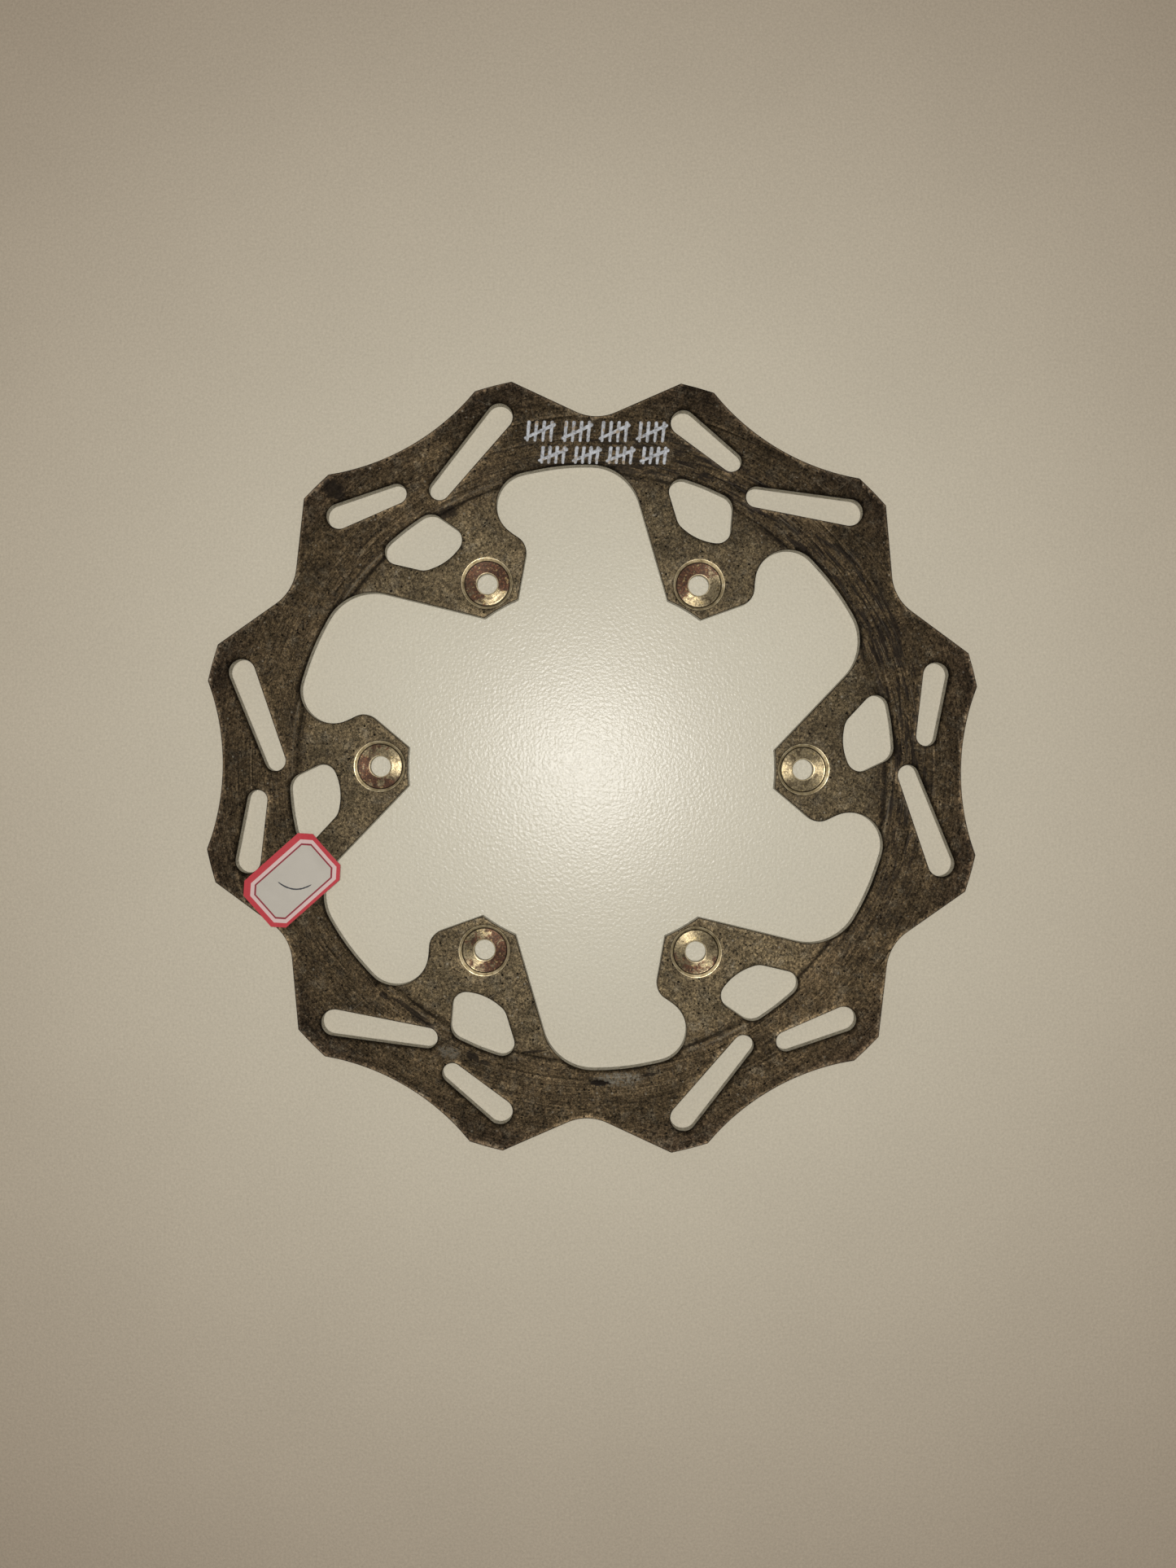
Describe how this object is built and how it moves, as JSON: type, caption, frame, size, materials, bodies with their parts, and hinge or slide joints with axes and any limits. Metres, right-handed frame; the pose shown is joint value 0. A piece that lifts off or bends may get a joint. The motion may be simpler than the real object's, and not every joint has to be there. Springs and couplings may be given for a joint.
{
  "type": "motorcycle brake disc rotor",
  "caption": "Flat one-piece steel brake disc for a motorcycle's rear wheel: waved rim, tapered slots, windows and recessed bolt tabs, with a paper label and tally marks on its face.",
  "frame": {"origin": "on the disc's axis, in the plane of its back face, which seats on the wheel hub", "axes": "+Z is the disc's axis, from the hub side to the front face with the bolt recesses; +X runs through the middle of the bolt tab called tab 1, and +Y follows by the right-hand rule"},
  "size_m": [0.2394, 0.2396, 0.0041],
  "materials": {
    "disc_steel": "satin",
    "label_paper": "matte",
    "marker_paint": "matte"
  },
  "bodies": {
    "root": {"rotor_plate": "disc_steel", "price_label": "label_paper", "tally_mark_upper_1": "marker_paint", "tally_mark_upper_2": "marker_paint", "tally_mark_upper_3": "marker_paint", "tally_mark_upper_4": "marker_paint", "tally_mark_lower_1": "marker_paint", "tally_mark_lower_2": "marker_paint", "tally_mark_lower_3": "marker_paint", "tally_mark_lower_4": "marker_paint"}
  },
  "joints": []
}
